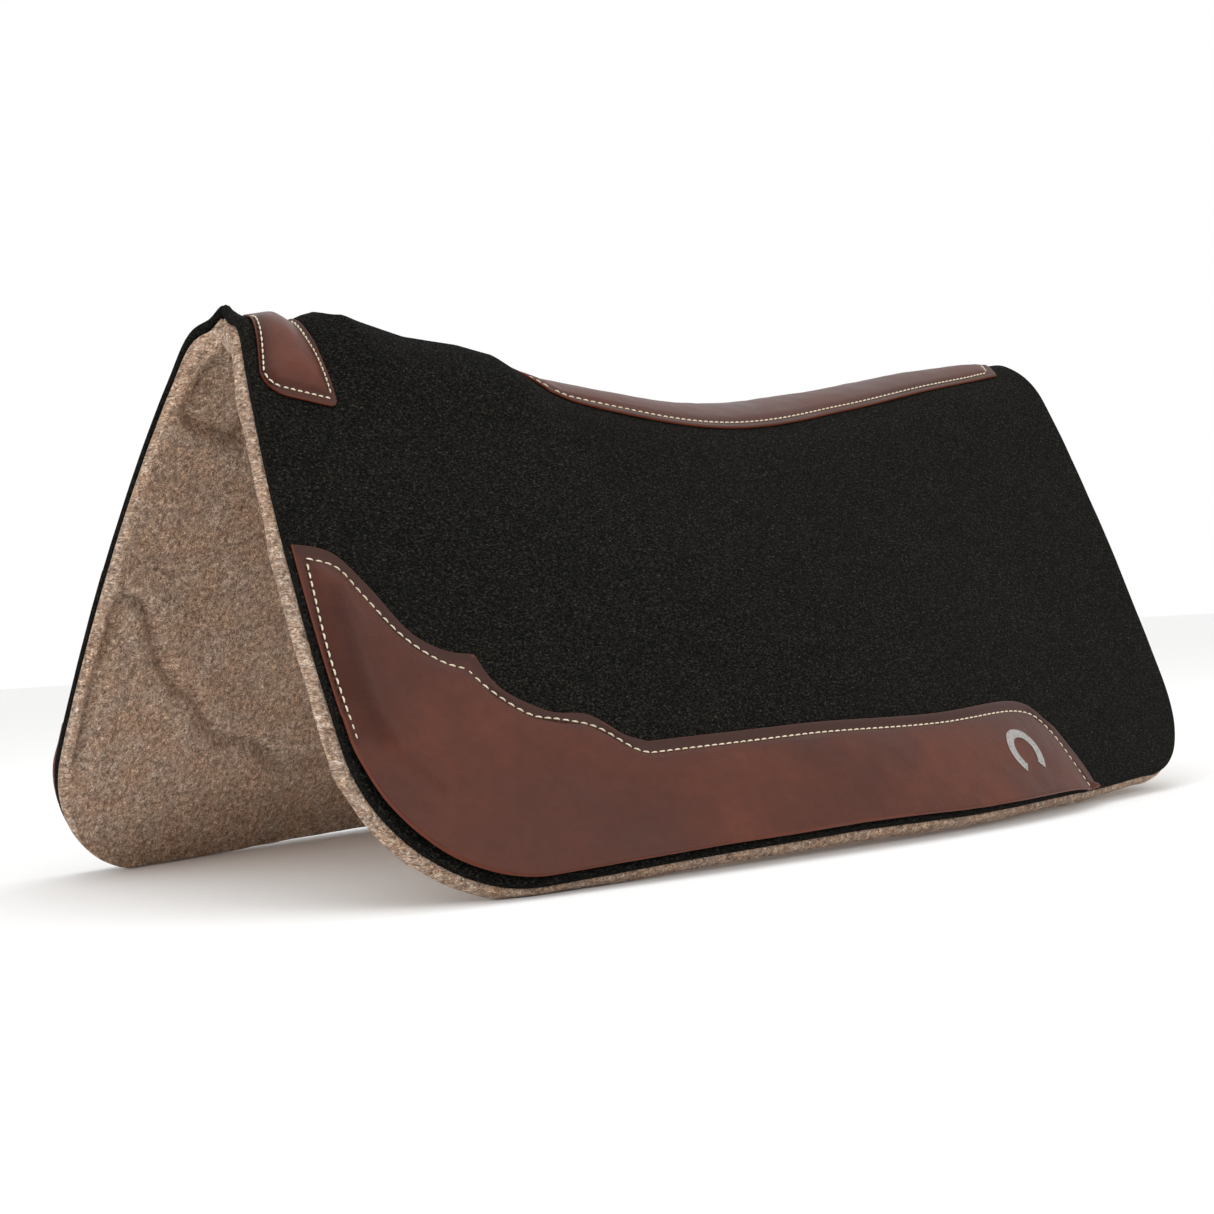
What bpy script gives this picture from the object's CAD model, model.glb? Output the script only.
import bpy
import numpy as np
from mathutils import Matrix, Vector


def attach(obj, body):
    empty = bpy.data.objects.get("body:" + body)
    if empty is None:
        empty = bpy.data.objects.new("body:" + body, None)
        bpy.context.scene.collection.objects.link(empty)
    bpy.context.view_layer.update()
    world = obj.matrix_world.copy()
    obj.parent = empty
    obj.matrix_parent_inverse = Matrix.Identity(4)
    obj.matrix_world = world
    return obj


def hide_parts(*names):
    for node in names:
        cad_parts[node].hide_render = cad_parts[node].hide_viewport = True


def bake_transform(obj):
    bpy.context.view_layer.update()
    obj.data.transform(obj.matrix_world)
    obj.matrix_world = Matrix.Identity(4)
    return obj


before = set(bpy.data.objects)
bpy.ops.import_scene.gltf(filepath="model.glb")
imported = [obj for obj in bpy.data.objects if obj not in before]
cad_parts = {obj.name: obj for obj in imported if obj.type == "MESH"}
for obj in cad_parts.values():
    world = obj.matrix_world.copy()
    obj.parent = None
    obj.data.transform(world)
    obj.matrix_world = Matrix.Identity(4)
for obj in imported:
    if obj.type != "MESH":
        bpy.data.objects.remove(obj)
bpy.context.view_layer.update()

# A contoured felt saddle pad with wear leathers, standing on the lower edges of its flaps.
# Every piece is cut flat: x is the distance behind the front end of the spine, y the distance
# across from the spine (near side negative), z the height over the black felt. formOver then
# bends all of them over the same back, so that the layers stay together. Measures are in mm,
# and meshes in metres.

pad = {
    "length": 787, "flap": 408, "flapEndExtra": 11,      # mm, as cut
    "frontLean": 45, "frontLeanPower": 2.2, "rearLean": 78, "rearLeanPower": 1.4,
    "cornerRadius": 88, "cornerFrom": 270, "cornerReach": 0.15,   # where a corner's sides are taken from
    "woolThickness": 12.7, "blackThickness": 6.35, "leatherThickness": 3, "layerGap": 0.15,
    "spineHeights": [359, 339, 320, 308, 321, 343, 360],  # front to rear, at equal steps
    "ridgeAngles": [28, 4, 14],                           # degrees
    "crownLengths": [80, 101, 69],
    "flapAngles": [61.4, 56.2, 53.6, 57, 59.5],
    "flapCurls": [0.2, 0.7, 2], "curlOver": 100,          # degrees in every curlOver mm
    "restDepth": 1.5, "seamGap": 0.3,
}
frontX = (pad["frontLean"] - pad["length"]) / 2

# Stitch lines, laid out flat as (behind, down)
stitchRuns = {
    "wearTop": [
        [(-25, 205), (-7, 210), (2, 226), (18, 255), (36, 272), (51, 278)],
        [(51, 278), (62, 294), (80, 310), (98, 314), (120, 321), (138, 337), (148, 341)],
        [(148, 341), (266, 337), (400, 336), (490, 337), (518, 355), (530, 404)],
    ],
    "wearFront": [[(-25, 208), (-32, 266), (-34, 322)]],
    "spine": [
        [(219, 8), (231, 41)],
        [(233, 44), (280, 54), (345, 60), (440, 55), (543, 44), (684, 33), (738, 26)],
        [(742, 23), (757, 6)],
    ],
    "withers": [[(17, 6), (-5, 72)], [(-5, 73), (-3, 79), (3, 82)], [(4, 82), (36, 86)], [(37, 82), (48, 6)]],
}


def alongCurve(values, share):
    # smooth curve through equally spaced values, for a whole array of shares
    values = np.array(values, float)
    last = len(values) - 1
    ends = np.concatenate([[2 * values[0] - values[1]], values, [2 * values[last] - values[last - 1]]])
    step = np.clip(np.floor(share * last), 0, last - 1).astype(int)
    f = share * last - step
    a, b, c, d = ends[step], ends[step + 1], ends[step + 2], ends[step + 3]
    return b + f * (c - a + f * (2 * a - 5 * b + 4 * c - d + f * (3 * b - a - 3 * c + d))) / 2


def smoothPath(points, perSpan=12):
    # a smooth line through laid out points
    points = np.array(points, float)
    if len(points) == 2:
        return points
    shares = np.linspace(0, 1, perSpan * (len(points) - 1) + 1)
    return np.stack([alongCurve(points[:, k], shares) for k in (0, 1)], axis=1)


def spread(path, count):
    # count + 1 points at equal distances along a line
    path = np.array(path, float)
    lengths = np.concatenate([[0], np.cumsum(np.linalg.norm(np.diff(path, axis=0), axis=1))])
    at = np.linspace(0, lengths[-1], count + 1)
    return np.stack([np.interp(at, lengths, path[:, k]) for k in (0, 1)], axis=1)


def joinPaths(*paths):
    return np.concatenate([paths[0]] + [path[1:] for path in paths[1:]])


def distanceTo(paths, places):
    # from each place to the nearest of the lines, in mm
    nearest = np.full(len(places), 1e9)
    for path in paths:
        for a, b in zip(path[:-1], path[1:]):
            side = b - a
            share = np.clip(((places - a) @ side) / max(side @ side, 1e-9), 0, 1)
            nearest = np.minimum(nearest, np.linalg.norm(places - a - share[:, None] * side, axis=1))
    return nearest


seamSteps = 24
stitchPaths = {name: [spread(smoothPath(run), seamSteps) for run in runs]
               for name, runs in stitchRuns.items()}
allStitchPaths = [path for paths in stitchPaths.values() for path in paths]


def frontEdge(down):
    return -pad["frontLean"] * (1 - np.maximum(1 - down / pad["flap"], 0) ** pad["frontLeanPower"])


def rearEdge(down):
    return pad["length"] - pad["rearLean"] * (np.maximum(down, 0) / pad["flap"]) ** pad["rearLeanPower"]


def lowerEdge(back):
    return pad["flap"] + pad["flapEndExtra"] * (2 * back / pad["length"] - 1) ** 2


# Where the felt doesn't lie smoothly on the back
relief = {
    "start": 66, "end": 204, "halfWidth": 26, "radius": 20,
    "lipBacks": [44, 56, 74, 118, 160, 190, 206, 222, 244],    # felt standing up beside the opening
    "lipHeights": [0, 9, 19, 14.5, 16, 14.5, 9.5, 4, 0],
    "lipFlat": 30, "lipFade": 98,
    "peakHeight": 9, "peakAt": 4, "peakLength": 6, "peakWidth": 11,   # pinched front end of the seam
    "fillHeight": 6, "fillDown": 32, "fillWidth": 22, "fillLength": 28,  # fuller crown at the front
    "roundingBacks": [0, 12, 30, 110], "roundings": [32, 30, 20, 12],  # of the ridge over the spine
}


def feltShift(back, down):
    # how far both felts and the leathers stand up from the smooth back
    lip = np.interp(back, relief["lipBacks"], relief["lipHeights"])
    fade = np.clip((down - relief["lipFlat"]) / (relief["lipFade"] - relief["lipFlat"]), 0, 1)
    behindPeak = (back - relief["peakAt"]) / relief["peakLength"]
    peak = np.exp(-behindPeak ** 2 - (down / relief["peakWidth"]) ** 2)
    fromFill = (down - relief["fillDown"]) / relief["fillWidth"]
    fill = np.exp(-fromFill ** 2 - (np.maximum(back, 0) / relief["fillLength"]) ** 2)
    return (lip * (0.5 + 0.5 * np.cos(np.pi * fade)) + relief["peakHeight"] * peak
            + relief["fillHeight"] * fill)


def formOver(flat, gap=pad["seamGap"]):
    # bends flat places (mm) over the back; gap is left between the halves at the spine
    back, across, offset = flat.T
    down = np.abs(across)
    side = np.where(across > 0, 1.0, -1.0)
    share = back / pad["length"]
    ridge = np.radians(alongCurve(pad["ridgeAngles"], share))
    shoulder = np.radians(alongCurve(pad["flapAngles"], share))
    crown = alongCurve(pad["crownLengths"], share)
    radius = crown / (shoulder - ridge)
    flapRadius = pad["curlOver"] / np.radians(alongCurve(pad["flapCurls"], share))
    height = alongCurve(pad["spineHeights"], share)
    crownOut = -radius * np.sin(ridge)
    crownUp = height - radius * np.cos(ridge)
    flapOut = crownOut + (radius - flapRadius) * np.sin(shoulder)
    flapUp = crownUp + (radius - flapRadius) * np.cos(shoulder)
    offset = offset + feltShift(back, down)
    # each layer's crown starts where that layer meets the seam
    seam = np.arcsin((gap / 2 - crownOut) / (radius + offset))
    slope = np.where(down < crown, seam + (shoulder - seam) * down / crown,
                     shoulder + (down - crown) / flapRadius)
    reach = np.where(down < crown, radius, flapRadius) + offset
    out = np.where(down < crown, crownOut, flapOut) + reach * np.sin(slope)
    up = np.where(down < crown, crownUp, flapUp) + reach * np.cos(slope)
    rounding = np.interp(back, relief["roundingBacks"], relief["roundings"])
    up = up - np.tan(ridge) * np.maximum(rounding - down, 0) ** 2 / (2 * rounding)
    up = np.maximum(up - pad["restDepth"], 0)                  # the lowest edge rests on the ground
    return np.stack([frontX + back, side * out, up], axis=1)


def onlySelect(obj):
    bpy.ops.object.select_all(action="DESELECT")
    obj.select_set(True)
    bpy.context.view_layer.objects.active = obj


def cornersOf(obj):
    places = np.empty(len(obj.data.vertices) * 3)
    obj.data.vertices.foreach_get("co", places)
    return places.reshape(-1, 3)


def moveCorners(obj, places):
    obj.data.vertices.foreach_set("co", places.astype(np.float32).ravel())
    obj.data.update()


def applyAll(obj):
    onlySelect(obj)
    for modifier in list(obj.modifiers):
        bpy.ops.object.modifier_apply(modifier=modifier.name)


def keepValue(obj, name, values):
    attribute = obj.data.attributes.new(name, "FLOAT", "POINT")
    attribute.data.foreach_set("value", values.astype(np.float32))


rim = {"rows": [0.07, 0.25, 0.55, 1], "closest": 0.05, "measured": 7, "cutShare": 0.3}


def rimShares(count, step, rounding):
    # even shares along a side, with closer ones at both ends for the rounded edge
    near = rounding * np.array(rim["rows"]) / (step * count)
    shares = np.concatenate([np.linspace(0, 1, count + 1), near, 1 - near])
    shares = np.unique(np.round(shares, 7))
    kept = [shares[0]]
    for share in shares[1:]:
        if share - kept[-1] > rim["closest"] * rounding / (step * count):
            kept.append(share)
    kept[-1] = 1.0
    return np.array(kept)


def atShares(side, shares):
    index = shares * (len(side) - 1)
    return np.stack([np.interp(index, np.arange(len(side)), side[:, k]) for k in (0, 1)], axis=1)


def lengthOf(path):
    return np.linalg.norm(np.diff(path, axis=0), axis=1).sum()


def cutPiece(name, sides, inner, outer, rounding):
    # a grid stretched between four cut lines (spine side, lower side, front, rear), near side,
    # then given its thickness (mm) and a rounded cut edge all round
    columns, rows = len(sides[0]) - 1, len(sides[2]) - 1
    acrossShares = rimShares(columns, lengthOf(sides[1]) / columns, rounding)
    downShares = rimShares(rows, lengthOf(sides[2]) / rows, rounding)
    columns, rows = len(acrossShares) - 1, len(downShares) - 1
    spineSide, lowerSide = (atShares(side, acrossShares) for side in sides[:2])
    frontSide, rearSide = (atShares(side, downShares) for side in sides[2:])
    bpy.ops.object.select_all(action="DESELECT")
    bpy.ops.mesh.primitive_grid_add(x_subdivisions=columns, y_subdivisions=rows, size=2)
    obj = bpy.context.object
    obj.name = name
    obj.data.name = name
    places = cornersOf(obj)
    i = np.rint((places[:, 0] + 1) / 2 * columns).astype(int)
    j = np.rint((1 - places[:, 1]) / 2 * rows).astype(int)
    u, v = acrossShares[i][:, None], downShares[j][:, None]
    flat = (1 - v) * spineSide[i] + v * lowerSide[i] + (1 - u) * frontSide[j] + u * rearSide[j]
    flat -= (1 - v) * ((1 - u) * spineSide[0] + u * spineSide[-1])
    flat -= v * ((1 - u) * lowerSide[0] + u * lowerSide[-1])
    moveCorners(obj, np.column_stack([flat[:, 0], -flat[:, 1], np.full(len(flat), outer)]) / 1000)
    nearRim = np.minimum(np.minimum(i, columns - i), np.minimum(j, rows - j)) < rim["measured"]
    fromRim = np.full(len(flat), rounding)
    fromRim[nearRim] = distanceTo([spineSide, lowerSide, frontSide, rearSide], flat[nearRim])
    keepValue(obj, "fromRim", fromRim)
    solidify = obj.modifiers.new("thickness", "SOLIDIFY")
    solidify.thickness = (outer - inner) / 1000
    solidify.offset = -1
    applyAll(obj)
    fromRim = np.empty(len(obj.data.vertices))
    obj.data.attributes["fromRim"].data.foreach_get("value", fromRim)
    obj.data.attributes.remove(obj.data.attributes["fromRim"])
    short = rounding - np.clip(fromRim, 0, rounding)
    lowered = rounding - np.sqrt(rounding ** 2 - short ** 2)
    places = cornersOf(obj)
    middle = (outer + inner) / 2000
    places[:, 2] -= np.sign(places[:, 2] - middle) * lowered / 1000
    moveCorners(obj, places)
    keepFlatPlaces(obj)
    keepValue(obj, "cutEdge", (fromRim < rim["cutShare"] * rounding).astype(float))
    return obj


def keepFlatPlaces(obj):
    # the flat layout stays on the piece as its UV map, in metres
    obj.data.uv_layers.new(name="flat")
    for other in [uv for uv in obj.data.uv_layers if uv.name != "flat"]:
        obj.data.uv_layers.remove(other)
    layer = obj.data.uv_layers["flat"]
    ends = np.empty(len(obj.data.loops), int)
    obj.data.loops.foreach_get("vertex_index", ends)
    layer.data.foreach_set("uv", cornersOf(obj)[ends, :2].astype(np.float32).ravel())


def otherSide(obj, name):
    # the same piece for the off side, turned over in its mesh
    twin = obj.copy()
    twin.data = obj.data.copy()
    twin.name = name
    twin.data.name = name
    bpy.context.collection.objects.link(twin)
    moveCorners(twin, cornersOf(twin) * [1, -1, 1])
    onlySelect(twin)
    bpy.ops.object.mode_set(mode="EDIT")
    bpy.ops.mesh.select_all(action="SELECT")
    bpy.ops.mesh.flip_normals()
    bpy.ops.object.mode_set(mode="OBJECT")
    return twin


def shadeSoft(obj):
    onlySelect(obj)
    bpy.ops.object.shade_smooth()


def hexColour(code):
    # sRGB hex to the linear colour that a shader takes
    parts = [int(code[i:i + 2], 16) / 255 for i in (1, 3, 5)]
    return [p / 12.92 if p <= 0.04045 else ((p + 0.055) / 1.055) ** 2.4 for p in parts] + [1]


def addNode(tree, kind, settings=None, inputs=None):
    node = tree.nodes.new(kind)
    for name, value in (settings or {}).items():
        setattr(node, name, value)
    for name, value in (inputs or {}).items():
        if isinstance(value, bpy.types.NodeSocket):
            tree.links.new(value, node.inputs[name])
        else:
            node.inputs[name].default_value = value
    return node


def startMaterial(name):
    material = bpy.data.materials.new(name)
    material.use_nodes = True
    return material, material.node_tree, material.node_tree.nodes["Principled BSDF"]


def rampOf(tree, fac, stops):
    node = addNode(tree, "ShaderNodeValToRGB", None, {"Fac": fac})
    ramp = node.color_ramp
    while len(ramp.elements) < len(stops):
        ramp.elements.new(0.5)
    for element, (at, colour) in zip(ramp.elements, stops):
        element.position = at
        element.color = colour
    return node.outputs["Color"]


def needledWoolFelt():
    # needled wool felt in natural mixed wools: brown, grey and cream fibres show as fine
    # mottling, and the loose surface is dull, with a soft pale bloom at a slant
    material, tree, shader = startMaterial("needledWoolFelt")
    place = addNode(tree, "ShaderNodeTexCoord").outputs["Object"]
    fibreWidth, cloudWidth, clumpWidth = 1.7, 22, 4.0       # mm; fibres drawn far coarser than wool
    lay = addNode(tree, "ShaderNodeMapping", None,
                  {"Vector": place, "Rotation": (0.4, 0.9, 0.5), "Scale": (1, 0.2, 1)}).outputs[0]
    cross = addNode(tree, "ShaderNodeMapping", None,
                    {"Vector": place, "Rotation": (0.2, -0.6, 1.9), "Scale": (1, 0.2, 1)}).outputs[0]
    fibres = addNode(tree, "ShaderNodeTexNoise", None,
                     {"Vector": lay, "Scale": 1000 / fibreWidth, "Detail": 4, "Roughness": 0.75,
                      "Distortion": 1.6}).outputs[0]
    crossing = addNode(tree, "ShaderNodeTexNoise", None,
                       {"Vector": cross, "Scale": 1000 / (fibreWidth * 1.4), "Detail": 4,
                        "Roughness": 0.7, "Distortion": 1.8}).outputs[0]
    clumps = addNode(tree, "ShaderNodeTexNoise", None,
                     {"Vector": place, "Scale": 1000 / clumpWidth, "Detail": 3}).outputs[0]
    clouds = addNode(tree, "ShaderNodeTexNoise", None,
                     {"Vector": place, "Scale": 1000 / cloudWidth, "Detail": 3}).outputs[0]
    brown = rampOf(tree, fibres, [(0.38, hexColour("#523826")), (0.46, hexColour("#94705a")),
                                  (0.54, hexColour("#bc977a")), (0.62, hexColour("#f6e2c8"))])
    grey = rampOf(tree, crossing, [(0.38, hexColour("#57483f")), (0.48, hexColour("#9f8876")),
                                   (0.55, hexColour("#c0ab9a")), (0.63, hexColour("#fbf0e2"))])
    share = rampOf(tree, clouds, [(0.38, (0.2, 0.2, 0.2, 1)), (0.62, (0.65, 0.65, 0.65, 1))])
    mixed = addNode(tree, "ShaderNodeMixRGB", None, {"Fac": share, "Color1": brown, "Color2": grey})
    dusk = rampOf(tree, clumps, [(0.34, (0.6, 0.59, 0.58, 1)), (0.62, (1.16, 1.15, 1.13, 1))])
    tinted = addNode(tree, "ShaderNodeMixRGB", {"blend_type": "MULTIPLY"},
                     {"Fac": 0.9, "Color1": mixed.outputs[0], "Color2": dusk})
    tree.links.new(tinted.outputs[0], shader.inputs["Base Color"])
    fuzz = addNode(tree, "ShaderNodeMath", {"operation": "ADD"}, {0: fibres, 1: crossing}).outputs[0]
    bump = addNode(tree, "ShaderNodeBump", None, {"Height": fuzz, "Strength": 0.8, "Distance": 0.0014})
    lumps = addNode(tree, "ShaderNodeBump", None, {"Height": clumps, "Strength": 0.5,
                                                   "Distance": 0.0025, "Normal": bump.outputs[0]})
    tree.links.new(lumps.outputs[0], shader.inputs["Normal"])
    shader.inputs["Roughness"].default_value = 1
    shader.inputs["Specular IOR Level"].default_value = 0.15
    shader.inputs["Sheen Weight"].default_value = 0.06
    shader.inputs["Sheen Roughness"].default_value = 0.6
    return material


def pressedBlackFelt():
    # dyed felt, pressed hard: almost black, with short grey-brown fibre ends lying mostly
    # one way, so the surface reads as fine broken streaks and never as paint
    material, tree, shader = startMaterial("pressedBlackFelt")
    place = addNode(tree, "ShaderNodeTexCoord").outputs["Object"]
    fibreWidth, pileWidth, cloudWidth = 1.1, 2.4, 60         # mm; fibres drawn coarser than they are
    lay = addNode(tree, "ShaderNodeMapping", None,
                  {"Vector": place, "Rotation": (0, 0.35, 0.15), "Scale": (0.62, 1, 1)}).outputs[0]
    fibres = addNode(tree, "ShaderNodeTexNoise", None,
                     {"Vector": lay, "Scale": 1000 / fibreWidth, "Detail": 4, "Roughness": 0.7,
                      "Distortion": 0.6}).outputs[0]
    pile = addNode(tree, "ShaderNodeTexNoise", None,
                   {"Vector": place, "Scale": 1000 / pileWidth, "Detail": 3}).outputs[0]
    clouds = addNode(tree, "ShaderNodeTexNoise", None,
                     {"Vector": place, "Scale": 1000 / cloudWidth, "Detail": 2}).outputs[0]
    streaks = rampOf(tree, fibres, [(0.36, hexColour("#040404")), (0.47, hexColour("#0b0b0a")),
                                    (0.57, hexColour("#1e1d1a")), (0.71, hexColour("#423e37"))])
    shade = rampOf(tree, pile, [(0.35, (0.62, 0.62, 0.62, 1)), (0.65, (1.2, 1.2, 1.2, 1))])
    mottled = addNode(tree, "ShaderNodeMixRGB", {"blend_type": "MULTIPLY"},
                      {"Fac": 0.7, "Color1": streaks, "Color2": shade})
    worn = rampOf(tree, clouds, [(0.35, (0.9, 0.9, 0.9, 1)), (0.65, (1.12, 1.1, 1.08, 1))])
    clouded = addNode(tree, "ShaderNodeMixRGB", {"blend_type": "MULTIPLY"},
                      {"Fac": 0.6, "Color1": mottled.outputs[0], "Color2": worn})
    tree.links.new(clouded.outputs[0], shader.inputs["Base Color"])
    bump = addNode(tree, "ShaderNodeBump", None, {"Height": fibres, "Strength": 0.7, "Distance": 0.001})
    nap = addNode(tree, "ShaderNodeBump", None, {"Height": pile, "Strength": 0.4, "Distance": 0.0012,
                                                 "Normal": bump.outputs[0]})
    tree.links.new(nap.outputs[0], shader.inputs["Normal"])
    shader.inputs["Roughness"].default_value = 0.95
    shader.inputs["Specular IOR Level"].default_value = 0.05
    return material


def oiledSaddleLeather():
    # oiled, waxed cowhide: deep red-brown with cloudy paler pull-up where it is stretched,
    # fine pebbled grain, a low waxy gloss, and a raw orange-brown cut edge
    material, tree, shader = startMaterial("oiledSaddleLeather")
    place = addNode(tree, "ShaderNodeTexCoord").outputs["Object"]
    grainWidth, creaseWidth, cloudWidth = 1.1, 7, 70          # mm; grain drawn a little coarse
    grain = addNode(tree, "ShaderNodeTexVoronoi", {"feature": "SMOOTH_F1"},
                    {"Vector": place, "Scale": 1000 / grainWidth, "Smoothness": 0.6}).outputs["Distance"]
    creases = addNode(tree, "ShaderNodeTexNoise", None,
                      {"Vector": place, "Scale": 1000 / creaseWidth, "Detail": 5, "Roughness": 0.65,
                       "Distortion": 0.6}).outputs[0]
    clouds = addNode(tree, "ShaderNodeTexNoise", None,
                     {"Vector": place, "Scale": 1000 / cloudWidth, "Detail": 3,
                      "Roughness": 0.55}).outputs[0]
    hide = rampOf(tree, clouds, [(0.30, hexColour("#482012")), (0.50, hexColour("#502515")),
                                 (0.70, hexColour("#5e2e1d"))])
    veins = rampOf(tree, creases, [(0.35, (0.82, 0.8, 0.78, 1)), (0.6, (1.06, 1.05, 1.04, 1))])
    veined = addNode(tree, "ShaderNodeMixRGB", {"blend_type": "MULTIPLY"},
                     {"Fac": 0.6, "Color1": hide, "Color2": veins})
    stretched = addNode(tree, "ShaderNodeAttribute", {"attribute_name": "stretched"}).outputs["Fac"]
    pullUp = rampOf(tree, stretched, [(0, (0.48, 0.42, 0.39, 1)), (1, (1.22, 1.22, 1.22, 1))])
    pulled = addNode(tree, "ShaderNodeMixRGB", {"blend_type": "MULTIPLY"},
                     {"Fac": 1, "Color1": veined.outputs[0], "Color2": pullUp})
    pressed = addNode(tree, "ShaderNodeAttribute", {"attribute_name": "pressed"}).outputs["Fac"]
    banded = addNode(tree, "ShaderNodeMixRGB", None,
                     {"Fac": pressed, "Color1": pulled.outputs[0], "Color2": hexColour("#34160c")})
    cut = addNode(tree, "ShaderNodeAttribute", {"attribute_name": "cutEdge"}).outputs["Fac"]
    edged = addNode(tree, "ShaderNodeMixRGB", None,
                    {"Fac": cut, "Color1": banded.outputs[0], "Color2": hexColour("#5f2c1b")})
    tree.links.new(edged.outputs[0], shader.inputs["Base Color"])
    gloss = rampOf(tree, clouds, [(0.3, (0.36, 0.36, 0.36, 1)), (0.7, (0.5, 0.5, 0.5, 1))])
    tree.links.new(gloss, shader.inputs["Roughness"])
    bump = addNode(tree, "ShaderNodeBump", None, {"Height": grain, "Strength": 0.22, "Distance": 0.0004})
    wrinkle = addNode(tree, "ShaderNodeBump", None, {"Height": creases, "Strength": 0.25,
                                                     "Distance": 0.0012, "Normal": bump.outputs[0]})
    tree.links.new(wrinkle.outputs[0], shader.inputs["Normal"])
    shader.inputs["IOR"].default_value = 1.47
    shader.inputs["Specular IOR Level"].default_value = 0.22
    return material


def waxedLinenThread():
    # heavy waxed thread, cream, laid up with a twist that shows as slanting ribs
    material, tree, shader = startMaterial("waxedLinenThread")
    place = addNode(tree, "ShaderNodeTexCoord").outputs["Object"]
    plyWidth = 0.6                                            # mm
    ply = addNode(tree, "ShaderNodeTexNoise", None,
                  {"Vector": place, "Scale": 1000 / plyWidth, "Detail": 2}).outputs[0]
    colour = rampOf(tree, ply, [(0.35, hexColour("#b9a98c")), (0.6, hexColour("#e6dcc4"))])
    tree.links.new(colour, shader.inputs["Base Color"])
    bump = addNode(tree, "ShaderNodeBump", None, {"Height": ply, "Strength": 0.4, "Distance": 0.0002})
    tree.links.new(bump.outputs[0], shader.inputs["Normal"])
    shader.inputs["Roughness"].default_value = 0.6
    return material


def stampedFoil():
    # dull silver foil pressed into the leather, thin enough that specks of brown come through
    material, tree, shader = startMaterial("stampedFoil")
    place = addNode(tree, "ShaderNodeTexCoord").outputs["Object"]
    speckWidth = 1.2                                          # mm
    specks = addNode(tree, "ShaderNodeTexNoise", None,
                     {"Vector": place, "Scale": 1000 / speckWidth, "Detail": 5}).outputs[0]
    colour = rampOf(tree, specks, [(0.30, hexColour("#6b5750")), (0.44, hexColour("#8f8b88")),
                                   (0.7, hexColour("#a5a3a1"))])
    tree.links.new(colour, shader.inputs["Base Color"])
    shader.inputs["Metallic"].default_value = 0.35
    shader.inputs["Roughness"].default_value = 0.5
    return material


woolMaterial = needledWoolFelt()
blackMaterial = pressedBlackFelt()
leatherMaterial = oiledSaddleLeather()
threadMaterial = waxedLinenThread()
foilMaterial = stampedFoil()
print("materials ready")


bothBodies = ("near_side", "off_side")


def finishPiece(obj, material, node, bodies):
    # material, slot, the CAD node it stands for, and the body or bodies it moves with
    obj.data.materials.clear()
    obj.data.materials.append(material)
    shadeSoft(obj)
    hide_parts(node)
    if len(bodies) == 1:
        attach(obj, bodies[0])
    else:
        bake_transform(obj)


roundSteps, cornerSteps = 8, 24                                # of a small and of a flap's corner
smallHalf, cornerHalf = roundSteps // 2, cornerSteps // 2


def roundCorner(before, at, after, radius, steps=roundSteps):
    # an arc in place of a corner between two straight sides
    before, at, after = (np.array(p, float) for p in (before, at, after))
    toward = (before - at) / np.linalg.norm(before - at)
    onward = (after - at) / np.linalg.norm(after - at)
    half = np.arccos(np.clip(toward @ onward, -1, 1)) / 2
    centre = at + (toward + onward) / np.linalg.norm(toward + onward) * radius / np.sin(half)
    start, end = at + toward * radius / np.tan(half), at + onward * radius / np.tan(half)
    arc = []
    for share in np.linspace(0, 1, steps + 1):
        spoke = start + (end - start) * share - centre
        arc.append(centre + spoke / np.linalg.norm(spoke) * radius)
    return np.array(arc)


def flapCorner(edge, corner, inset):
    # one lower corner of the flap, from its front or rear edge round to its lower edge
    inward = 1 if corner == 0 else -1
    beside = corner + inward * pad["cornerReach"] * pad["length"]
    above = pad["cornerFrom"]
    return roundCorner((edge(above) + inward * inset, above),
                       (edge(pad["flap"]) + inward * inset, lowerEdge(corner) - inset),
                       (beside, lowerEdge(beside) - inset), pad["cornerRadius"] - inset, cornerSteps)


feltGrid = {"aheadShare": 0.08, "reliefShare": 0.30,           # of the columns
            "roundPoints": 7, "edgePoints": 40, "lowerPoints": 60}


def feltSides(columns, rows, inset=0):
    # the four cut lines of one felt half; each lower corner belongs half to either side
    start, end, half, radius = relief["start"], relief["end"], relief["halfWidth"], relief["radius"]
    turn = np.linspace(0, np.pi / 2, feltGrid["roundPoints"])
    along, over = radius * (1 - np.cos(turn)), half - radius + radius * np.sin(turn)
    notchIn, notchOut = np.stack([start + along, over], axis=1), np.stack([end - along, over], axis=1)
    notch = np.concatenate([[(start, 0)], notchIn, notchOut[::-1], [(end, 0)]])
    ahead, across = int(columns * feltGrid["aheadShare"]), int(columns * feltGrid["reliefShare"])
    spineSide = joinPaths(spread([(inset, 0), (start, 0)], ahead), spread(notch, across),
                          spread([(end, 0), (pad["length"] - inset, 0)], columns - ahead - across))
    corners, sides = [], []
    for edge, corner, inward in ((frontEdge, 0, 1), (rearEdge, pad["length"], -1)):
        arc = flapCorner(edge, corner, inset)
        downs = np.linspace(0, arc[0, 1], feltGrid["edgePoints"])
        line = np.stack([edge(downs) + inward * inset, downs], axis=1)
        line[:, 0] += np.linspace(0, arc[0, 0] - line[-1, 0], feltGrid["edgePoints"])
        sides.append(spread(joinPaths(line, arc[:cornerHalf + 1]), rows))
        corners.append(arc[cornerHalf:])
    backs = np.linspace(corners[0][-1, 0], corners[1][-1, 0], feltGrid["lowerPoints"])
    lower = np.stack([backs, lowerEdge(backs) - inset], axis=1)
    lower[:, 1] += np.linspace(corners[0][-1, 1] - lower[0, 1], corners[1][-1, 1] - lower[-1, 1],
                               feltGrid["lowerPoints"])
    lowerSide = spread(joinPaths(corners[0], lower, corners[1][::-1]), columns)
    return spineSide, lowerSide, sides[0], sides[1]


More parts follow.
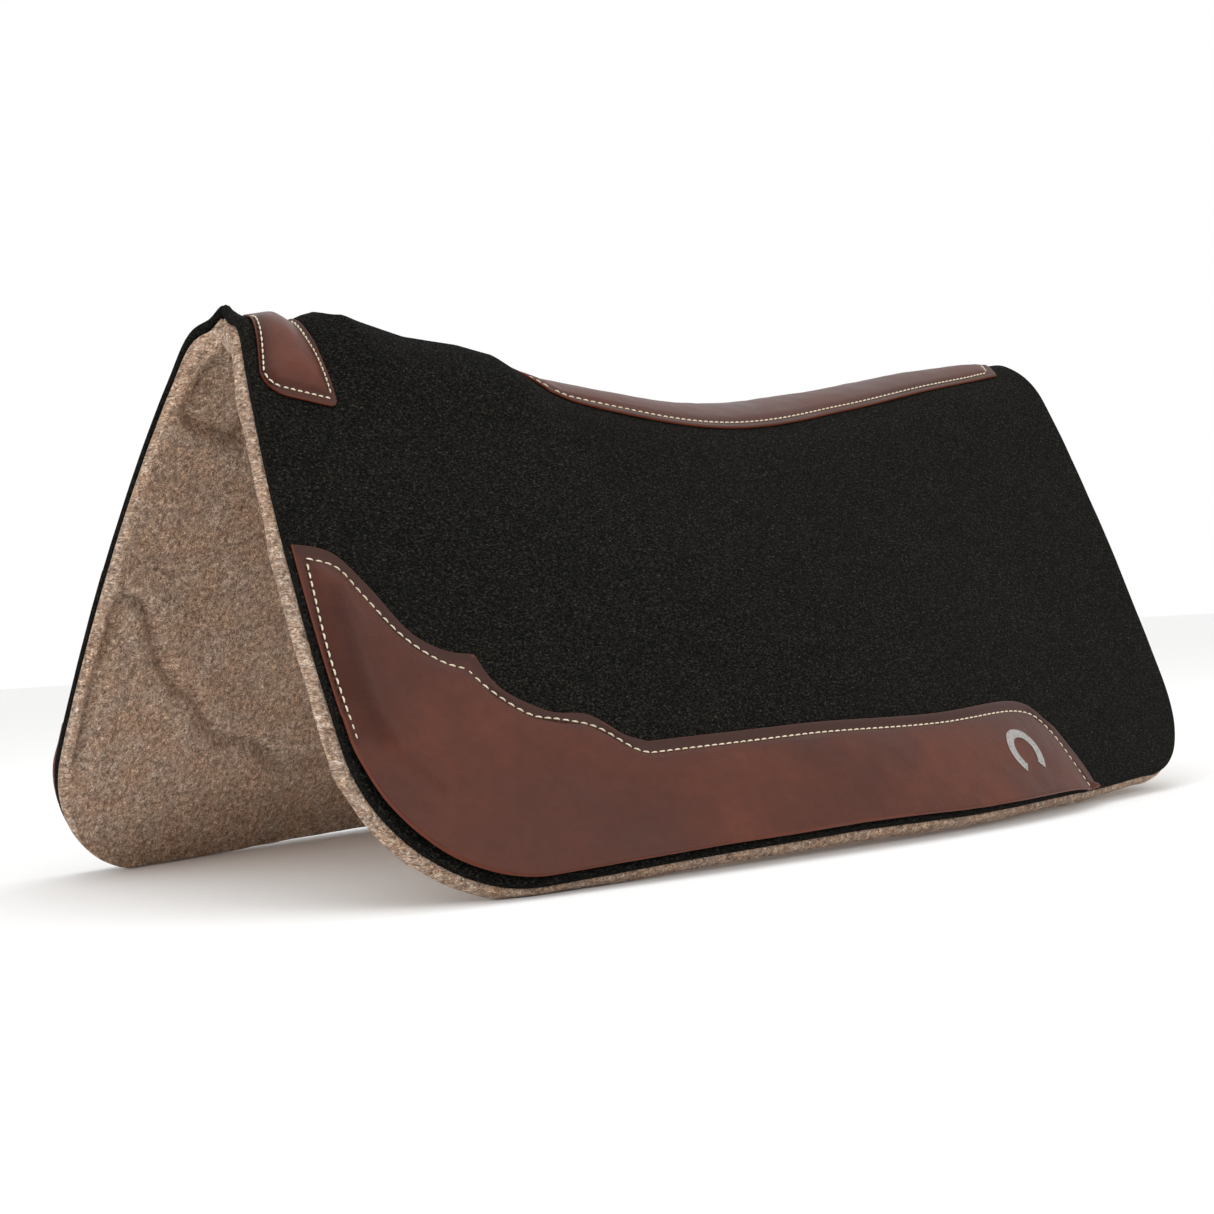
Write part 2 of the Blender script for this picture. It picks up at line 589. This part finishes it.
ripple = {"count": 6, "turn": 2.4, "finer": 0.37, "fainter": 0.6, "shift": 3.1, "seedShift": 1.7,
          "total": 2.5}


def wander(places, width, seed):
    # gentle unevenness that repeats nowhere on the piece, about -1 to 1: ever finer, fainter ripples
    total = np.zeros(len(places))
    for k in range(ripple["count"]):
        turn = seed + ripple["turn"] * k
        ahead = np.array([np.cos(turn), np.sin(turn)]) * (1 + ripple["finer"] * k) * 2 * np.pi / width
        phase = ripple["seedShift"] * seed + ripple["shift"] * k
        total += np.sin(places[:, :2] @ ahead + phase) / (1 + ripple["fainter"] * k)
    return total / ripple["total"]


woolFelt = {"columns": 252, "rows": 120, "inset": 0, "rounding": 4.2,
            "creaseDepth": 8, "creaseWidth": 3.2,              # where the stitching pulls the wool in
            "puff": 3, "puffFrom": 13, "puffReach": 11, "uneven": 0.9, "unevenWidth": 55, "seed": 1.3}
blackFelt = {"columns": 196, "rows": 86, "inset": 1.5, "rounding": 2.1,
             "pullDepth": 1.1, "pullWidth": 4, "uneven": 0.35, "unevenWidth": 90, "seed": 4.1}


def dentNear(distance, depth, width):
    return depth * np.exp(-(distance / width) ** 2)


def makeWoolFelt():
    cut = woolFelt
    inner = -pad["blackThickness"] - pad["woolThickness"]
    outer = -pad["blackThickness"] - pad["layerGap"]
    obj = cutPiece("wool_felt_near", feltSides(cut["columns"], cut["rows"], cut["inset"]),
                   inner, outer, cut["rounding"])
    places = cornersOf(obj) * 1000
    laid = places[:, :2] * [1, -1]
    fromStitches = distanceTo(allStitchPaths, laid)
    under = np.clip((outer - places[:, 2]) / (outer - inner), 0, 1)
    crease = cut["creaseDepth"] * np.exp(-fromStitches / cut["creaseWidth"])
    puff = dentNear(fromStitches - cut["puffFrom"], cut["puff"], cut["puffReach"])
    uneven = cut["uneven"] * wander(places, cut["unevenWidth"], cut["seed"])
    places[:, 2] += under * (crease - puff + uneven)
    places[:, 2] -= dentNear(fromStitches, blackFelt["pullDepth"], blackFelt["pullWidth"]) * (1 - under)
    return obj, places


def makeBlackFelt():
    cut = blackFelt
    obj = cutPiece("black_felt_near", feltSides(cut["columns"], cut["rows"], cut["inset"]),
                   -pad["blackThickness"], 0, cut["rounding"])
    places = cornersOf(obj) * 1000
    laid = places[:, :2] * [1, -1]
    places[:, 2] -= dentNear(distanceTo(allStitchPaths, laid), cut["pullDepth"], cut["pullWidth"])
    places[:, 2] += cut["uneven"] * wander(places, cut["unevenWidth"], cut["seed"])
    return obj, places


def formBothSides(obj, places, farName):
    # bends the near piece and its mirrored twin
    moveCorners(obj, places / 1000)
    twin = otherSide(obj, farName)
    for piece in (obj, twin):
        moveCorners(piece, formOver(cornersOf(piece) * 1000) / 1000)
    return obj, twin


for make, farName, material, slotName, node in (
        (makeWoolFelt, "wool_felt_off", woolMaterial, "wool_felt", "bottom_felt"),
        (makeBlackFelt, "black_felt_off", blackMaterial, "black_felt", "top_felt")):
    near, off = formBothSides(*make(), farName)
    finishPiece(near, material, node + "_left", bothBodies)
    finishPiece(off, material, node + "_right", bothBodies)
    flatSize = (pad["flap"] / 1000, (pad["length"] + pad["frontLean"]) / 1000)
    print("felt ready:", node)


leatherTop = pad["layerGap"] + pad["leatherThickness"]
leatherWork = {
    "bandBlend": 3, "seamPull": 0.5, "seamWidth": 2.6, "puffPower": 1.3,
    "uneven": 0.35, "unevenWidth": 46, "unevenFrom": 20, "seed": 2.2,
    "hollowDepth": 0.75, "hollowWidth": 7,
}
wearLeather = {
    "inset": 4,                      # from the felt's edge
    "rise": [(-53, 197), (-34, 196), (-7, 200), (9, 222), (24, 252), (42, 265), (60, 268)],
    "step": [(60, 268), (68, 291), (93, 308), (118, 312), (136, 327), (150, 333)],
    "strip": [(150, 333), (268, 329), (400, 328), (495, 329), (527, 353)],
    "tip": [(527, 353), (538, 385), (540, 404)],
    "rounding": 0.8, "bandWidth": 7.5, "puff": 4.2, "puffReach": 15, "edgePress": 1.2,
    "bandDarkness": [1, 0.8, 0.1],   # along the top, the rear tip and the front
    "fold": [(-12, 225), (-17, 290), (-12, 325), (6, 352)], "foldHeight": 2.4, "foldWidth": 8,
    "foldClear": 7, "hollow": [(-17, 232), (-24, 290), (-24, 322)],
    "stretch": 0.5, "pull": 0.75, "pullReach": 5, "bandPull": 0.2,
    "columns": [40, 34, 126], "rows": 44, "frontPoints": 20, "lowerPoints": 90, "cornerEnd": 200,
    "rearBandRows": 36, "frontBandPoints": 16,
}
spineLeather = {
    "front": 210, "rear": 768,
    "edge": [(226, 47), (275, 61), (345, 67), (440, 62), (543, 51), (684, 39), (746, 32)],
    "rounding": 0.8, "bandWidth": 6, "puff": 1.2, "puffReach": 14, "edgePress": 1,
    "bandDarkness": [0.7, 0.7, 0.7], "stretch": 0.5, "pull": 0.6, "pullReach": 5, "bandPull": 0.3,
    "columns": 150, "rows": 40,
}
withersTab = {
    "front": 14, "rear": 52, "frontCorner": (-11, 86), "rearCorner": (39, 92),
    "frontRadius": 14, "rearRadius": 6,
    "rounding": 0.8, "bandWidth": 3.5, "puff": 5.2, "puffReach": 10, "edgePress": 1.3,
    "bandDarkness": [0.35, 0.35, 0.35], "stretch": 1, "pull": 1, "pullReach": 7, "bandPull": 0.5,
    "columns": 30, "rows": 90,
}


def padding(cut, places, fromSeam):
    # how far a leather stands up over its padding, with its own unevenness
    puff = cut["puff"] * (1 - np.exp(-(fromSeam / cut["puffReach"]) ** leatherWork["puffPower"]))
    uneven = leatherWork["uneven"] * wander(places, leatherWork["unevenWidth"], leatherWork["seed"])
    return puff + uneven * np.clip(fromSeam / leatherWork["unevenFrom"], 0, 1)


def makeLeather(name, cut, sides, outerPaths, seamPaths):
    # pressed flat outside the stitching, puffed up inside it, with the thread pulled in
    obj = cutPiece(name, sides, pad["layerGap"], leatherTop, cut["rounding"])
    places = cornersOf(obj) * 1000
    laid = np.stack([places[:, 0], np.abs(places[:, 1])], axis=1)
    fromSeam = distanceTo(seamPaths, laid)
    blend = leatherWork["bandBlend"]
    bands = [np.clip((cut["bandWidth"] - distanceTo([path], laid)) / blend + 0.5, 0, 1)
             for path in outerPaths]
    outside = np.max(bands, axis=0)
    top = (places[:, 2] - pad["layerGap"]) / pad["leatherThickness"]
    places[:, 2] -= cut["edgePress"] * outside * top
    places[:, 2] += (1 - outside) * padding(cut, places, fromSeam)
    places[:, 2] -= dentNear(fromSeam, blackFelt["pullDepth"] + leatherWork["seamPull"],
                             leatherWork["seamWidth"])
    darkness = [dark * band for dark, band in zip(cut["bandDarkness"], bands)]
    keepValue(obj, "pressed", np.max(darkness, axis=0))
    slack = np.maximum(outside * cut["bandPull"], cut["pull"] * np.exp(-fromSeam / cut["pullReach"]))
    if "hollow" in cut:
        fromHollow = distanceTo([smoothPath(cut["hollow"])], laid)
        slack = np.maximum(slack, dentNear(fromHollow, leatherWork["hollowDepth"],
                                           leatherWork["hollowWidth"]))
    keepValue(obj, "stretched", cut["stretch"] * (1 - slack))
    return obj, places


def makeWearLeather():
    cut, inset = wearLeather, wearLeather["inset"]
    rise = smoothPath(cut["rise"])
    started = rise[rise[:, 0] >= frontEdge(rise[:, 1]) + inset]
    started[0, 0] = frontEdge(started[0, 1]) + inset
    runs = [started, smoothPath(cut["step"]), smoothPath(cut["strip"])]
    topSide = joinPaths(*(spread(run, count) for run, count in zip(runs, cut["columns"])))
    arc = flapCorner(frontEdge, 0, inset)
    downs = np.linspace(topSide[0, 1], arc[0, 1], cut["frontPoints"])
    frontLine = np.stack([frontEdge(downs) + inset, downs], axis=1)
    frontLine[:, 0] += np.linspace(0, arc[0, 0] - frontLine[-1, 0], cut["frontPoints"])
    frontSide = spread(joinPaths(frontLine, arc[:cornerHalf + 1]), cut["rows"])
    backs = np.linspace(arc[-1, 0], cut["tip"][-1][0], cut["lowerPoints"])
    lower = np.stack([backs, lowerEdge(backs) - inset], axis=1)
    lower[:, 1] += np.interp(backs, [backs[0], cut["cornerEnd"]], [arc[-1, 1] - lower[0, 1], 0])
    lowerSide = spread(joinPaths(arc[cornerHalf:], lower), sum(cut["columns"]))
    rearSide = spread(np.concatenate([smoothPath(cut["tip"])[:-1], [lowerSide[-1]]]), cut["rows"])
    outerPaths = [topSide, rearSide[:cut["rearBandRows"]], frontLine[:cut["frontBandPoints"]]]
    obj, places = makeLeather("wear_leather_near", cut, [topSide, lowerSide, frontSide, rearSide],
                              outerPaths, stitchPaths["wearTop"] + stitchPaths["wearFront"])
    fromFold = distanceTo([smoothPath(cut["fold"])], places[:, :2] * [1, -1])
    fromSeam = distanceTo(stitchPaths["wearFront"], places[:, :2] * [1, -1])
    fold = dentNear(fromFold, cut["foldHeight"], cut["foldWidth"])
    places[:, 2] += fold * (1 - dentNear(fromSeam, 1, cut["foldClear"]))
    return obj, places


def makeSpineLeather():
    # down is negative on the off side
    cut = spineLeather
    edge = smoothPath(cut["edge"])
    near = spread(edge, cut["columns"])
    ends = [spread([tip * [1, -1], (middle, 0), tip], cut["rows"])
            for middle, tip in ((cut["front"], near[0]), (cut["rear"], near[-1]))]
    endLines = [np.array([(cut["front"], 0), edge[0]]), np.array([edge[-1], (cut["rear"], 0)])]
    return makeLeather("spine_leather_piece", cut, [near * [1, -1], near, ends[0], ends[1]],
                       [edge] + endLines, stitchPaths["spine"])


def makeWithersTab():
    cut = withersTab
    front, rear = (cut["front"], 0), (cut["rear"], 0)
    first = roundCorner(front, cut["frontCorner"], cut["rearCorner"], cut["frontRadius"])
    second = roundCorner(cut["frontCorner"], cut["rearCorner"], rear, cut["rearRadius"])
    near = spread(np.concatenate([first[smallHalf:], second[:smallHalf + 1]]), cut["columns"])
    frontHalf = np.concatenate([[front], first[:smallHalf + 1]])
    rearHalf = np.concatenate([[rear], second[smallHalf:][::-1]])
    sides = [spread(np.concatenate([(half * [1, -1])[::-1], half[1:]]), cut["rows"])
             for half in (frontHalf, rearHalf)]
    return makeLeather("withers_leather_piece", cut, [near * [1, -1], near, sides[0], sides[1]],
                       [near, frontHalf, rearHalf], stitchPaths["withers"])


near, off = formBothSides(*makeWearLeather(), "wear_leather_off")
finishPiece(near, leatherMaterial, "wear_leather_left", ["near_side"])
finishPiece(off, leatherMaterial, "wear_leather_right", ["off_side"])
for make, node, flatSize, area in ((makeSpineLeather, "spine_leather", (0.134, 0.558), 0.0569),
                                   (makeWithersTab, "withers_leather", (0.184, 0.064), 0.0076)):
    piece, places = make()
    moveCorners(piece, formOver(places, gap=0) / 1000)
    finishPiece(piece, leatherMaterial, node, bothBodies)
print("leathers ready")


thread = {"pitch": 5.6, "tabPitch": 4.6, "length": 4.4, "width": 1.15, "height": 1.2,
          "bluntness": 0.8, "endDip": 0.5, "sink": 0.15, "sides": 8, "rings": 6}


def oneStitch():
    # a short, thick loop of thread, pulled down at both ends
    bpy.ops.object.select_all(action="DESELECT")
    bpy.ops.mesh.primitive_uv_sphere_add(segments=thread["sides"], ring_count=thread["rings"], radius=1)
    obj = bpy.context.object
    places = cornersOf(obj)[:, [2, 0, 1]]                       # poles at the two ends
    fuller = np.sign(places[:, 0]) * np.abs(places[:, 0]) ** thread["bluntness"]
    shaped = np.stack([fuller * thread["length"] / 2, places[:, 1] * thread["width"] / 2,
                       places[:, 2] * thread["height"] / 2 - thread["endDip"] * fuller ** 2], axis=1)
    moveCorners(obj, shaped / 1000)
    return obj


def stitchRow(name, runs, bothHalves, pitch):
    # copies of one stitch along the runs, then made one piece
    model = oneStitch()
    shape = cornersOf(model) * 1000 * [min(pitch / thread["pitch"], 1), 1, 1]
    copies = []
    for path in (smoothPath(run) for run in runs):
        ends = spread(path, max(round(lengthOf(path) / pitch), 1))
        for a, b in zip(ends[:-1], ends[1:]):
            for side in ((-1, 1) if bothHalves else (-1,)):
                middle = (a + b) / 2
                ahead = (b - a) / np.linalg.norm(b - a) * [1, side]
                beside = np.array([-ahead[1], ahead[0]])
                copy = model.copy()
                copy.data = model.data.copy()
                bpy.context.collection.objects.link(copy)
                flat = middle * [1, side] + shape[:, :1] * ahead + shape[:, 1:2] * beside
                moveCorners(copy, np.column_stack([flat, shape[:, 2]]) / 1000)
                copies.append(copy)
    bpy.data.objects.remove(model)
    bpy.ops.object.select_all(action="DESELECT")
    for copy in copies:
        copy.select_set(True)
    bpy.context.view_layer.objects.active = copies[0]
    bpy.ops.object.join()
    obj = bpy.context.object
    obj.name = name
    obj.data.name = name
    places = cornersOf(obj) * 1000
    places[:, 2] += leatherTop - blackFelt["pullDepth"] - thread["sink"]
    return obj, places


for key, nearName, farName, node in (
        ("wearTop", "wear_top_stitches_near", "wear_top_stitches_off", "wear_top_stitching"),
        ("wearFront", "wear_front_stitches_near", "wear_front_stitches_off", "wear_front_stitching")):
    near, off = formBothSides(*stitchRow(nearName, stitchRuns[key], False, thread["pitch"]), farName)
    finishPiece(near, threadMaterial, node + "_left", ["near_side"])
    finishPiece(off, threadMaterial, node + "_right", ["off_side"])
for key, name, node, pitch in (("spine", "spine_stitches", "spine_stitching", thread["pitch"]),
                               ("withers", "withers_stitches", "withers_stitching", thread["tabPitch"])):
    piece, places = stitchRow(name, stitchRuns[key], True, pitch)
    moveCorners(piece, formOver(places, gap=0) / 1000)
    finishPiece(piece, threadMaterial, node, bothBodies)
print("stitching ready")


mark = {"back": 462, "down": 371, "width": 36, "height": 38, "band": 7, "opening": 84,   # degrees
        "thickness": 0.3, "lift": 0.05, "rounding": 0.1, "columns": 48, "rows": 6}


def makeMark():
    # a plain horseshoe: the band runs from one heel over the toe to the other
    half = mark["opening"] / 2
    turns = np.radians(np.linspace(270 - half, half - 90, mark["columns"] + 1))
    lines = []
    for inset in (0, mark["band"]):
        wide, high = mark["width"] / 2 - inset, mark["height"] / 2 - inset
        lines.append(np.stack([mark["back"] + wide * np.cos(turns),
                               mark["down"] - high * np.sin(turns)], axis=1))
    heels = [np.linspace(lines[0][end], lines[1][end], mark["rows"] + 1) for end in (0, -1)]
    obj = cutPiece("foil_mark_near", lines + heels,
                   leatherTop, leatherTop + mark["thickness"], mark["rounding"])
    places = cornersOf(obj) * 1000
    laid = places[:, :2] * [1, -1]
    fromSeam = distanceTo(stitchPaths["wearTop"] + stitchPaths["wearFront"], laid)
    places[:, 2] += padding(wearLeather, places, fromSeam) + mark["lift"]
    return obj, places


near, off = formBothSides(*makeMark(), "foil_mark_off")
finishPiece(near, foilMaterial, "foil_mark_left", ["near_side"])
finishPiece(off, foilMaterial, "foil_mark_right", ["off_side"])
print("mark ready")


view = {"place": (-1.0426, -1.0752, 0.1384), "right": (0.73856, -0.67129, -0.06246),
        "up": (0.03554, -0.05376, 0.99792), "ahead": (0.67325, 0.73924, 0.01585),
        "lens": 60.1, "sensor": 36, "farthest": 50}
cameraData = bpy.data.cameras.new("camera")
cameraData.lens = view["lens"]
cameraData.sensor_width = view["sensor"]
cameraData.clip_end = view["farthest"]
camera = bpy.data.objects.new("camera", cameraData)
bpy.context.collection.objects.link(camera)
backward = [-value for value in view["ahead"]]
turned = Matrix((view["right"], view["up"], backward)).transposed().to_4x4()
camera.matrix_world = Matrix.Translation(Vector(view["place"])) @ turned
bpy.context.scene.camera = camera

bpy.ops.object.select_all(action="DESELECT")
floorSize, floorHeight = 40, -0.0005                            # a little below the pad, in metres
bpy.ops.mesh.primitive_plane_add(size=floorSize, location=(0, 0, floorHeight))
floor = bpy.context.object
floor.name = "floor"
floorMaterial, _, floorShader = startMaterial("paleFloor")
floorShader.inputs["Base Color"].default_value = hexColour("#f4f4f3")
floorShader.inputs["Roughness"].default_value = 0.9
floor.data.materials.append(floorMaterial)

world = bpy.data.worlds.new("studio")
bpy.context.scene.world = world
world.use_nodes = True
world.node_tree.nodes["Background"].inputs["Color"].default_value = (1, 1, 1, 1)
world.node_tree.nodes["Background"].inputs["Strength"].default_value = 1

padMiddle = (0, 0, 0.15)
softboxes = [
    {"name": "overhead", "place": (-0.2, -0.3, 2.2), "size": 2.2, "power": 12},
    {"name": "frontLeft", "place": (-2.4, -0.5, 0.7), "size": 1.8, "power": 8},
    {"name": "nearSide", "place": (0.6, -2.4, 1.5), "size": 1.8, "power": 18},
    # a reflector card on the floor under the arch, which lights the wool from below
    {"name": "reflector", "place": (-0.05, 0, 0.003), "aim": (-0.05, 0.001, 1), "size": 0.75,
     "height": 0.3, "power": 0.42},
]
for box in softboxes:
    light = bpy.data.lights.new(box["name"], "AREA")
    light.size = box["size"]
    light.shape = "RECTANGLE"
    light.size_y = box.get("height", box["size"])
    light.energy = box["power"]
    lamp = bpy.data.objects.new(box["name"], light)
    bpy.context.collection.objects.link(lamp)
    lamp.location = box["place"]
    aim = Vector(box.get("aim", padMiddle)) - Vector(box["place"])
    lamp.rotation_euler = aim.to_track_quat("-Z", "Y").to_euler()
bpy.context.scene.view_settings.view_transform = "Standard"
print("camera and light ready")
